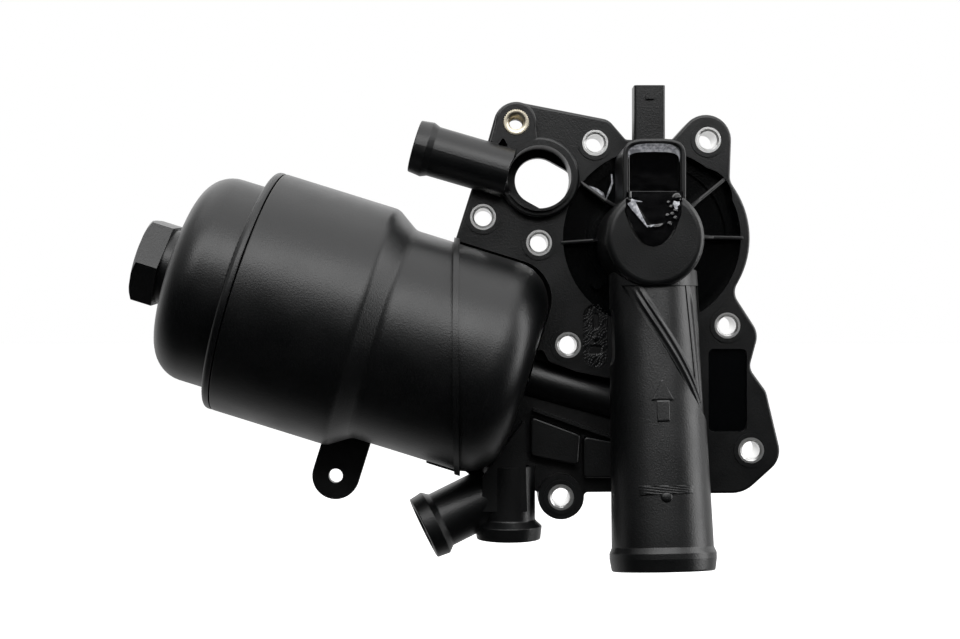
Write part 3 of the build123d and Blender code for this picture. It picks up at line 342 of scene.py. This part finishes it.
ARCH = np.linspace(math.pi, 0, 41)
ARCH_X = WELL_X + RIM_HALF * np.sign(np.cos(ARCH)) * np.sqrt(np.abs(np.cos(ARCH)))
ARCH_Y = ARCH_FOOT_Y + RIM_RISE * np.sqrt(np.abs(np.sin(ARCH)))
well_rim = [(WELL_X - RIM_HALF, y, RIM_FRONT) for y in RIM_SIDE_Y]
well_rim += [(x, y, RIM_FRONT) for x, y in zip(ARCH_X, ARCH_Y)]
well_rim += [(WELL_X + RIM_HALF, y, RIM_FRONT) for y in reversed(RIM_SIDE_Y)]
streak("well_rim", well_rim, [0.9] * len(well_rim), [0.55] * len(well_rim), housing_nylon)

# Each crown follows its rib's crest, which is given as (distance from the dome's centre, front).
RIB_DEGREES = (0.0, 39.0, 142.0, 183.0)
RIB_CREST = ((34.6, 16.0), (28.0, 18.35), (22.6, 20.25), (20.5, 22.9), (17.5, 27.7))
for number, degrees in enumerate(RIB_DEGREES):
    right = math.cos(math.radians(degrees))
    up = math.sin(math.radians(degrees))
    crest = [(DOME_CENTRE[0] + far * right, DOME_CENTRE[1] + far * up, front) for far, front in RIB_CREST]
    streak("rib_crown_%d" % (number + 1), crest, [0.64] * len(crest), [0.3] * len(crest), housing_nylon)


# Floor of the long round pocket: left as the tool's spark erosion made it, coarse and dull, with a
# narrow slot at its top, a small pin in its middle and a wide hollow below.
POCKET_CENTRE = (10.45, 3.45)
POCKET_SIZE = (24.1, 9.3)
POCKET_LEVEL = 14.4
POCKET_BOTTOM = 12.4
POCKET_SHARP = 70
# Marks in the floor: place across and up, half sizes, and depth, which is negative for a pin.
POCKET_MARKS = ((0.3, 5.6, 0.9, 2.6, 1.2), (0.2, -1.0, 0.7, 0.7, -0.5), (0.0, -5.4, 2.2, 1.4, 0.9))


def pocket_floor(name, material):
    """Rounded strip: a grid squeezed to the slot's outline, its height rippled by three sines and
    lowered or raised at the marks by flat-topped bells of the fourth power."""
    length, width = POCKET_SIZE
    v, u = np.meshgrid(np.linspace(-1, 1, 160), np.linspace(-1, 1, 60), indexing="ij")
    y = v * length / 2
    straight = length / 2 - width / 2
    over = np.clip(np.abs(y) - straight, 0, width / 2)
    x = u * np.sqrt(np.clip((width / 2) ** 2 - over ** 2, 0.001, None))
    ripple = np.sin(x * 4.1 + 2.0 * np.sin(y * 1.3)) * np.sin(y * 3.7 + 1.5 * np.sin(x * 1.7))
    z = POCKET_LEVEL + 0.10 * ripple + 0.06 * np.sin(x * 9.0 + y * 7.0)
    for mark_x, mark_y, half_x, half_y, deep in POCKET_MARKS:
        z = z - deep * np.exp(-(((x - mark_x) / half_x) ** 4 + ((y - mark_y) / half_y) ** 4))
    top = stand(POCKET_CENTRE[0] + x, POCKET_CENTRE[1] + y, z)
    bottom = stand(POCKET_CENTRE[0] + x, POCKET_CENTRE[1] + y, z * 0 + POCKET_BOTTOM)
    return slab(name, top, bottom, material, "root", POCKET_SHARP)


pocket_floor("eroded_pocket_floor", housing_nylon)


# Bolt sleeves: aluminium tube, cut to length and pressed into the bosses.
# The sawn and chamfered end is bright with fine turning marks.
TOOL_MARK_MM = 0.6
TOOL_MARK_DEPTH_MM = 0.02


def turned_metal(name, colour, roughness):
    """Turned metal: a fine irregular bump, as worn tool marks leave it. The real marks are 0.1 mm
    apart, and they are drawn 0.6 mm apart so that they show."""
    material, tree = new_material(name)
    place = add_node(tree, "ShaderNodeTexCoord").outputs["Object"]
    marks = add_node(tree, "ShaderNodeTexNoise", links={"Vector": place}, Scale=1000 / TOOL_MARK_MM,
                     Detail=3.0)
    bump = add_node(tree, "ShaderNodeBump", links={"Height": marks.outputs["Fac"]},
                    Strength=0.5, Distance=TOOL_MARK_DEPTH_MM / 1000)
    shader = add_node(tree, "ShaderNodeBsdfPrincipled", links={"Normal": bump.outputs["Normal"]},
                      Base_Color=linear(colour), Metallic=1.0, Roughness=roughness)
    finish_material(tree, shader)
    return material


dress(["bolt_sleeves"], turned_metal("sawn_aluminium", "F4F4F3", 0.34))


# Threaded insert: free-cutting brass bar, turned, knurled on its outside and tapped M6.
# It is pressed warm into its lug and stands a little proud, so its teeth show at the rim.
INSERT_X = -19.8
INSERT_Y = 84.2
INSERT_TOP = 20.4
INSERT_LOW = 8.0
INSERT_TEETH = 36
INSERT_R = 5.0
INSERT_TOOTH = 0.32
THREAD_CORE_R = 2.62
THREAD_DEPTH = 0.5
THREAD_PITCH = 1.0
THREAD_CREST = 1.3
THREAD_STEEPNESS = 2.8
INSERT_SHARP = 30


def knurled_insert(name, material):
    """Turned ring: a closed profile of (radius, height, share of thread, share of tooth) carried
    round the axis. In the bore the radius follows a ramp that repeats every pitch and moves on by
    one pitch per turn, and on the outside it follows a triangle wave with one crest per tooth."""
    threaded = np.linspace(INSERT_LOW, INSERT_TOP - 0.9, 78)
    profile = [(THREAD_CORE_R, level, 1, 0) for level in threaded]
    profile += [(THREAD_CORE_R + 0.15, INSERT_TOP - 0.7, 0, 0), (3.5, INSERT_TOP - 0.05, 0, 0),
                (3.62, INSERT_TOP, 0, 0), (4.3, INSERT_TOP, 0, 0), (4.75, INSERT_TOP - 0.02, 0, 0.6),
                (INSERT_R, INSERT_TOP - 0.25, 0, 1), (INSERT_R, INSERT_LOW + 0.3, 0, 1),
                (INSERT_R - 0.3, INSERT_LOW, 0, 0)]
    radius, height, thread, tooth = np.array(profile).T[:, :, None]
    angle = np.linspace(0, 2 * math.pi, 12 * INSERT_TEETH, endpoint=False)[None, :]
    ramp = (height / THREAD_PITCH - angle / (2 * math.pi)) % 1.0
    flank = np.clip(THREAD_CREST - np.abs(ramp - 0.5) * THREAD_STEEPNESS, 0, 1)
    crest = np.abs((angle * INSERT_TEETH / (2 * math.pi)) % 1.0 - 0.5) * 2
    reach = radius + thread * THREAD_DEPTH * flank - tooth * INSERT_TOOTH * crest
    points = stand(INSERT_X + reach * np.cos(angle), INSERT_Y + reach * np.sin(angle), height + 0 * angle)
    rows, columns = points.shape[:2]
    index = np.arange(rows * columns).reshape(rows, columns)
    right = np.roll(index, -1, axis=1)
    faces = np.stack([index, right, np.roll(right, -1, axis=0), np.roll(index, -1, axis=0)], -1)
    faces = faces.reshape(-1, 4)
    made = add_piece(name, points.reshape(-1, 3), faces, material, "root", INSERT_SHARP)
    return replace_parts(made, "brass_insert")


knurled_insert("threaded_insert", turned_metal("turned_pale_brass", "EDE4CE", 0.33))


# Potting resin: black epoxy poured into the connector well, cured glossy. It has crept up the
# walls, run down from the top of the dome and left small bubbles and drops on the right.
EPOXY_IOR = 1.55
WAVE_MM = 5.0


def glossy_resin(name, colour):
    """Glossy epoxy: smooth skin with shallow waves 5 mm across."""
    material, tree = new_material(name)
    place = add_node(tree, "ShaderNodeTexCoord").outputs["Object"]
    waves = add_node(tree, "ShaderNodeTexNoise", links={"Vector": place}, Scale=1000 / WAVE_MM, Detail=1.0)
    bump = add_node(tree, "ShaderNodeBump", links={"Height": waves.outputs["Fac"]},
                    Strength=1.0, Distance=0.16 / 1000)
    shader = add_node(tree, "ShaderNodeBsdfPrincipled", links={"Normal": bump.outputs["Normal"]},
                      Base_Color=linear(colour), Roughness=0.09, IOR=EPOXY_IOR)
    finish_material(tree, shader)
    return material


epoxy = glossy_resin("potting_epoxy_black", "060607")

WELL_HALF = 9.55
WELL_TOP = 72.65
WELL_CORNER = 3.7
RESIN_LEVEL = 46.25
WELL_FLOOR = 30.2
SPILL_TIP_X = 28.1
SPILL_TIP_Y = 35.6
SPILL_TIP_Z = 54.12
SPILL_DROP = 0.25
SPILL_LENGTH = 17.4
SPILL_POWER = 1.6
SPILL_END_Y = 55.6
LIP_LENGTH = 0.3
SPILL_THICKNESS = 0.4
RAMP_DEGREES = 20
TOP_CREEP = 3.2
TOP_CREEP_REACH = 2.2
SIDE_CREEP = 1.6
SIDE_CREEP_REACH = 0.8
SIDE_CREEP_START_Y = 53
# The spill's edges reach these places, and above the two heights the well's walls bound the resin.
SPILL_LEFT = (18.4, 48.2)
SPILL_RIGHT = (38.2, 47.0)
LEFT_WALL_Y = 52.6
RIGHT_WALL_Y = 47.0
# Fold on the left of the spill, leaning to the right as it goes down.
FOLD_TOP = (20.4, 51.1)
FOLD_LEAN = 0.68
FOLD_HEIGHT = 0.5
FOLD_HALF = 0.9
FOLD_MIDDLE_Y = 48.0
FOLD_REACH = 3.6
# Curl below the fold: a short arc, open upwards.
CURL_PLACE = (29.4, 42.6)
CURL_BEND = 0.12
CURL_HEIGHT = 0.45
CURL_HALF = 0.5
CURL_REACH = 1.8
# Drops right of the spill: place across and up, half width and height.
DROPS = ((36.6, 52.6, 1.3, 0.8), (36.9, 50.0, 0.8, 0.5), (36.2, 48.3, 0.6, 0.45), (35.0, 47.0, 0.55, 0.4),
         (36.0, 45.6, 0.6, 0.4), (34.0, 43.6, 0.6, 0.45), (34.6, 49.6, 0.5, 0.35), (33.6, 51.2, 0.45, 0.3),
         (33.2, 46.6, 0.5, 0.3))


def resin_height(x, y):
    """Height of the resin: the level pool, and the spill that drops from its tip as a power of the
    distance and ends in a lip, plus a creep that dies away from the walls as an exponential, a
    rounded fold, a curl and a few drops."""
    wall = np.minimum(WELL_HALF - np.abs(x - WELL_X), WELL_TOP - y)
    pool = RESIN_LEVEL + 0 * x
    spill = SPILL_TIP_Z - SPILL_DROP * (np.clip(y - SPILL_TIP_Y, 0, None) / SPILL_LENGTH) ** SPILL_POWER
    lip = np.clip((SPILL_END_Y - y) / LIP_LENGTH, 0, 1) ** 2
    height = np.maximum(pool, pool + (spill - pool) * lip)
    top_creep = TOP_CREEP * np.exp(-np.clip(WELL_TOP - y, 0, None) / TOP_CREEP_REACH)
    top_creep = top_creep * (1 - 0.25 * ((x - WELL_X) / WELL_HALF) ** 2)
    side_creep = SIDE_CREEP * np.exp(-np.clip(wall, 0, None) / SIDE_CREEP_REACH)
    side_creep = side_creep * (y > SIDE_CREEP_START_Y)
    off_fold = x - FOLD_TOP[0] - (FOLD_TOP[1] - y) * FOLD_LEAN
    fold = FOLD_HEIGHT * np.exp(-(off_fold / FOLD_HALF) ** 2 - ((y - FOLD_MIDDLE_Y) / FOLD_REACH) ** 2)
    off_curl = y - CURL_PLACE[1] - CURL_BEND * (x - WELL_X) ** 2
    curl = CURL_HEIGHT * np.exp(-(off_curl / CURL_HALF) ** 2 - ((x - CURL_PLACE[0]) / CURL_REACH) ** 2)
    drops = 0 * x
    for drop_x, drop_y, size, tall in DROPS:
        drops = drops + tall * np.exp(-(((x - drop_x) ** 2 + (y - drop_y) ** 2) / size ** 2) ** 1.5)
    return height + top_creep + side_creep + fold + curl + drops


def spill_side(y, far_x, far_y):
    """Edge of the spill: it opens from the tip as a square root and meets the well's wall."""
    share = np.clip((y - SPILL_TIP_Y) / (far_y - SPILL_TIP_Y), 0, 1)
    return SPILL_TIP_X + (far_x - SPILL_TIP_X) * np.sqrt(share)


def edge_of_well(y, side):
    """Edge of the U-shaped well, rounded at its top corners by a quarter circle."""
    drop = np.clip(y - (WELL_TOP - WELL_CORNER), 0, WELL_CORNER)
    corner = np.sqrt(np.clip(WELL_CORNER ** 2 - drop ** 2, 0, None))
    return WELL_X + side * (WELL_HALF - WELL_CORNER + corner)


def resin_body(name, material):
    """Body of the poured resin: rows from the spill's tip to the well's top, each spread between
    its left and right edge. Its underside is a ramp below the spill and the well's floor."""
    v, u = np.meshgrid(np.linspace(0, 1, 150), np.linspace(-1, 1, 90), indexing="ij")
    y = SPILL_TIP_Y + (WELL_TOP - SPILL_TIP_Y) * v
    left = np.where(y < LEFT_WALL_Y, spill_side(y, *SPILL_LEFT), edge_of_well(y, -1))
    right = np.where(y < RIGHT_WALL_Y, spill_side(y, *SPILL_RIGHT), edge_of_well(y, 1))
    x = (left + right) / 2 + u * (right - left) / 2
    ramp = SPILL_TIP_Z - SPILL_THICKNESS - (y - SPILL_TIP_Y) * math.tan(math.radians(RAMP_DEGREES))
    top = stand(x, y, resin_height(x, y))
    bottom = stand(x, y, np.where(y < SPILL_END_Y, ramp, WELL_FLOOR))
    made = slab(name, top, bottom, material, "root", SMOOTH_ALL)
    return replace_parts(made, "potting_resin")


resin_body("poured_resin", epoxy)


# Painted highlight on the resin: pale grey skins laid where the glossy epoxy shows bright reflections.
# They are a crescent at the well's top, streaks and spots on the spill, and a smear with a string on the
# upper left rib, a real spill of resin whose brightness is painted highlight too.
MOTTLE_MM = 1.2


def painted_highlight_resin(name, dark, light):
    """Pale grey skin that paints the resin's highlights: two greys mottled 1.2 mm across, with a fine
    crumpled bump.
    """
    material, tree = new_material(name)
    place = add_node(tree, "ShaderNodeTexCoord").outputs["Object"]
    mottle = add_node(tree, "ShaderNodeTexNoise", links={"Vector": place}, Scale=1000 / MOTTLE_MM,
                      Detail=3.0)
    share = add_node(tree, "ShaderNodeMapRange", links={"Value": mottle.outputs["Fac"]},
                     From_Min=0.38, From_Max=0.62, To_Min=0.0, To_Max=1.0)
    colour = add_node(tree, "ShaderNodeMix", {"data_type": "RGBA"}, {0: share.outputs["Result"]})
    colour.inputs[6].default_value = linear(dark)
    colour.inputs[7].default_value = linear(light)
    bump = add_node(tree, "ShaderNodeBump", links={"Height": mottle.outputs["Fac"]},
                    Strength=1.0, Distance=0.2 / 1000)
    shader = add_node(tree, "ShaderNodeBsdfPrincipled", Roughness=0.42, IOR=EPOXY_IOR,
                      links={"Base Color": colour.outputs[2], "Normal": bump.outputs["Normal"]})
    finish_material(tree, shader)
    return material


highlight_grey = painted_highlight_resin("epoxy_painted_highlight_grey", "77797F", "C2C3C8")


def crescent(name, outer, inner, material):
    """Band along the well's top: between two half superellipses of the fourth power, given as
    (half width, height), and a little above the resin."""
    angle, u = np.meshgrid(np.linspace(0.02, math.pi - 0.02, 90), np.linspace(0, 1, 9), indexing="ij")
    half = outer[0] + (inner[0] - outer[0]) * u
    rise = outer[1] + (inner[1] - outer[1]) * u
    x = WELL_X + half * np.sign(np.cos(angle)) * np.sqrt(np.abs(np.cos(angle)))
    y = ARCH_FOOT_Y + rise * np.sqrt(np.sin(angle))
    z = resin_height(x, y)
    return slab(name, stand(x, y, z + 0.1), stand(x, y, z - 0.2), material, "root", SMOOTH_ALL)


# Painted highlight: a pale grey band where the resin's meniscus shines along the well's top.
crescent("painted_highlight_crescent", (9.5, 6.8), (9.2, 4.2), highlight_grey)


# Smear and string of spilt resin on the upper left rib: the spill is real, its pale grey is painted
# highlight.
streak("resin_smear_painted_highlight", [(8.2, 60.6, 14.6), (10.5, 58.8, 15.0), (12.6, 57.0, 15.6), (14.2, 55.6, 16.2)],
       [0.1, 1.0, 1.3, 0.1], [0.1, 0.9, 1.0, 0.1], highlight_grey)
streak("resin_string_painted_highlight", [(14.4, 55.2, 16.4), (15.6, 58.2, 16.4), (16.8, 61.5, 16.0), (16.7, 65.0, 15.0)],
       [0.1, 0.5, 0.4, 0.3], [0.1, 0.5, 0.4, 0.3], highlight_grey)
# Painted highlights on the spill: a wedge and a lip on its left, a curl below them and spots on the right.
streak("painted_highlight_wedge", [(20.2, 51.6, 54.2), (21.6, 49.2, 54.3), (24.0, 45.6, 54.3), (26.2, 42.4, 54.2)],
       [1.5, 1.2, 0.6, 0.1], [0.3, 0.3, 0.25, 0.1], highlight_grey)
streak("painted_highlight_lip", [(20.2, 51.9, 54.2), (22.0, 51.8, 54.2), (24.2, 51.6, 54.1)], [0.7, 0.35, 0.1],
       [0.25, 0.2, 0.1], highlight_grey)
streak("painted_highlight_curl", [(25.8, 43.1, 54.15), (27.2, 42.8, 54.3), (28.8, 43.4, 54.15)], [0.15, 0.35, 0.15],
       [0.15, 0.3, 0.15], highlight_grey)
streak("painted_highlight_spots", [(36.6, 52.3, 54.1), (36.3, 50.6, 54.2), (36.4, 48.8, 54.1)], [0.9, 1.25, 0.3],
       [0.2, 0.4, 0.2], highlight_grey)


# Plain parts inside: rubber seals, pleated paper, moulded nylon and acetal, stamped steel and drawn
# brass. Each has one even colour and sheen, because hardly anything of them shows from outside.
def plain(name, colour, roughness, metallic=0.0):
    """Even colour and sheen."""
    material, tree = new_material(name)
    shader = add_node(tree, "ShaderNodeBsdfPrincipled", Base_Color=linear(colour), Roughness=roughness,
                      Metallic=metallic)
    finish_material(tree, shader)
    return material


dress(["cap_seal", "element_seal", "thermostat_seal"], plain("nitrile_rubber", "151515", 0.55))
dress(["coolant_gasket", "oil_gaskets"], plain("fluoro_rubber", "3A2418", 0.5))
dress(["filter_paper"], plain("resin_bonded_paper", "D8C48E", 0.9))
dress(["element_outer_plate", "element_inner_plate", "element_core"], plain("nylon_dark", "2A2B2D", 0.5))
dress(["bypass_cage", "bypass_disc"], plain("acetal_natural", "CFCBBE", 0.45))
dress(["thermostat_frame", "thermostat_plate", "heater_pin", "connector_terminals"],
      plain("stamped_stainless_steel", "B9BABC", 0.35, 1.0))
dress(["wax_capsule"], plain("drawn_brass", "C9A663", 0.35, 1.0))


# Springs: oil-tempered wire, coiled cold with closed ends. Each is held at one end and the valve that it
# closes shortens it; here a welded copy of the coil only goes with the body that holds it, at full length.
WELD_DISTANCE = 2e-6
FILTER_AXIS = (0.954761, 0.0, -0.297375)
ENGINE_AXIS = (0.0, 1.0, 0.0)


def live_spring(node, body, axis, material):
    """Copy of a spring's mesh, welded at its seams, given the material and attached to the body. Its far
    end, which is its largest reach along the axis, is found but not used, and the coil keeps its length."""
    mesh = nodes[node].data.copy()
    welded = bmesh.new()
    welded.from_mesh(mesh)
    bmesh.ops.remove_doubles(welded, verts=welded.verts, dist=WELD_DISTANCE)
    welded.to_mesh(mesh)
    welded.free()
    mesh.materials.clear()
    mesh.materials.append(material)
    coil = bpy.data.objects.new(node + "_coil", mesh)
    bpy.context.collection.objects.link(coil)
    spots = np.empty(len(mesh.vertices) * 3)
    mesh.vertices.foreach_get("co", spots)
    reach = spots.reshape(-1, 3) @ np.array(axis)
    anchor = spots.reshape(-1, 3)[reach.argmax()]
    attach(coil, body)
    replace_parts(coil, node)
    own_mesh(coil)


spring_wire = plain("oil_tempered_wire", "9A9B9E", 0.3, 1.0)
live_spring("bypass_spring", "cap", FILTER_AXIS, spring_wire)
live_spring("thermostat_spring", "root", ENGINE_AXIS, spring_wire)


# Studio: the part hangs over white paper in a room that is white behind and above it and dark in
# front. Mirrored rays pass the paper, so that glossy faces show the room's white behind the part.
FLOOR_GAP = 0.045
FLOOR_HALF = 8.0
PAPER_GLOW = 0.93
floor_z = cad_low[2] - FLOOR_GAP
floor_corners = [(x * FLOOR_HALF, y * FLOOR_HALF, floor_z) for x, y in ((-1, -1), (1, -1), (1, 1), (-1, 1))]
floor_mesh = bpy.data.meshes.new("paper_floor")
floor_mesh.from_pydata(floor_corners, [], [(0, 1, 2, 3)])
floor = bpy.data.objects.new("paper_floor", floor_mesh)
bpy.context.collection.objects.link(floor)
paper, paper_tree = new_material("floor_paper")
paper_shade = add_node(paper_tree, "ShaderNodeBsdfPrincipled", Base_Color=linear("F4F4F4"), Roughness=0.9)
paper_rays = add_node(paper_tree, "ShaderNodeLightPath")
paper_white = add_node(paper_tree, "ShaderNodeEmission", Color=(1, 1, 1, 1),
                       Strength=PAPER_GLOW)
paper_seen = add_node(paper_tree, "ShaderNodeAddShader", links={
    0: paper_shade.outputs[0], 1: paper_white.outputs[0]})
paper_camera = add_node(paper_tree, "ShaderNodeMixShader", links={
    0: paper_rays.outputs["Is Camera Ray"], 1: paper_shade.outputs[0], 2: paper_seen.outputs[0]})
paper_passed = add_node(paper_tree, "ShaderNodeBsdfTransparent")
paper_glossy = add_node(paper_tree, "ShaderNodeMixShader", links={
    0: paper_rays.outputs["Is Glossy Ray"], 1: paper_camera.outputs[0], 2: paper_passed.outputs[0]})
add_node(paper_tree, "ShaderNodeOutputMaterial", links={"Surface": paper_glossy.outputs[0]})
floor_mesh.materials.append(paper)


def soft_light(name, place, target, size, power):
    """Rectangular soft box at place, turned to target."""
    lamp = bpy.data.lights.new(name, "AREA")
    lamp.shape = "RECTANGLE"
    lamp.size, lamp.size_y = size
    lamp.energy = power
    box = bpy.data.objects.new(name, lamp)
    bpy.context.collection.objects.link(box)
    box.location = place
    way = np.array(target) - np.array(place)
    flat = math.hypot(way[0], way[1])
    box.rotation_euler = (math.atan2(flat, -way[2]), 0, math.atan2(way[1], way[0]) - math.pi / 2)


PART_MIDDLE = (-0.03, 0, 0)
soft_light("box_above", (-0.05, -0.05, 0.75), PART_MIDDLE, (1.2, 0.8), 3.0)
soft_light("box_front_high", (-0.03, -0.82, 0.61), PART_MIDDLE, (1.3, 0.52), 7.8)
soft_light("box_right", (0.97, -0.12, 0.2), PART_MIDDLE, (0.54, 1.15), 8.0)

# Room: mirrored and transmitted rays see the white behind and above, other rays an even faint white.
WHITE = (1, 1, 1, 1)
world = bpy.data.worlds.new("studio")
bpy.context.scene.world = world
world.use_nodes = True
sky = world.node_tree
sky.nodes.clear()
way = add_node(sky, "ShaderNodeTexCoord").outputs["Generated"]
parts = add_node(sky, "ShaderNodeSeparateXYZ", links={"Vector": way})
behind = add_node(sky, "ShaderNodeMapRange", links={"Value": parts.outputs["Y"]},
                  From_Min=0.0, From_Max=0.7, To_Min=0.0, To_Max=1.0)
height = add_node(sky, "ShaderNodeMapRange", links={"Value": parts.outputs["Z"]},
                  From_Min=-0.2, From_Max=0.4, To_Min=0.6, To_Max=1.5)
wall = add_node(sky, "ShaderNodeMath", {"operation": "MULTIPLY"},
                {0: behind.outputs["Result"], 1: height.outputs["Result"]})
above = add_node(sky, "ShaderNodeMapRange", links={"Value": parts.outputs["Z"]},
                 From_Min=0.05, From_Max=0.9, To_Min=0.0, To_Max=0.8)
paper_glare = add_node(sky, "ShaderNodeMath", {"operation": "MAXIMUM"},
                       {0: wall.outputs[0], 1: above.outputs["Result"]})
rays = add_node(sky, "ShaderNodeLightPath")
shiny = add_node(sky, "ShaderNodeMath", {"operation": "MAXIMUM"},
                 {0: rays.outputs["Is Glossy Ray"], 1: rays.outputs["Is Transmission Ray"]})
ambient = add_node(sky, "ShaderNodeBackground", Color=WHITE, Strength=0.08)
seen = add_node(sky, "ShaderNodeBackground", Color=WHITE, Strength=1.0)
paper_around = add_node(sky, "ShaderNodeBackground", links={"Strength": paper_glare.outputs[0]},
                        Color=WHITE)
glossy_mix = add_node(sky, "ShaderNodeMixShader", links={
    0: shiny.outputs[0], 1: ambient.outputs[0], 2: paper_around.outputs[0]})
camera_mix = add_node(sky, "ShaderNodeMixShader", links={
    0: rays.outputs["Is Camera Ray"], 1: glossy_mix.outputs[0], 2: seen.outputs[0]})
add_node(sky, "ShaderNodeOutputWorld", links={"Surface": camera_mix.outputs[0]})

# Camera: straight at the front face from 0.59 m before the plate, on the photograph's middle.
CAMERA_PLACE = (-0.03344, -0.606, 0.00969)
FOCAL_MM = 58.22
SENSOR_MM = 36.0
lens = bpy.data.cameras.new("front_camera")
lens.sensor_width = SENSOR_MM
lens.lens = FOCAL_MM
camera = bpy.data.objects.new("front_camera", lens)
bpy.context.collection.objects.link(camera)
camera.location = CAMERA_PLACE
camera.rotation_euler = (math.pi / 2, 0, 0)
bpy.context.scene.camera = camera
bpy.context.scene.view_settings.view_transform = "Standard"
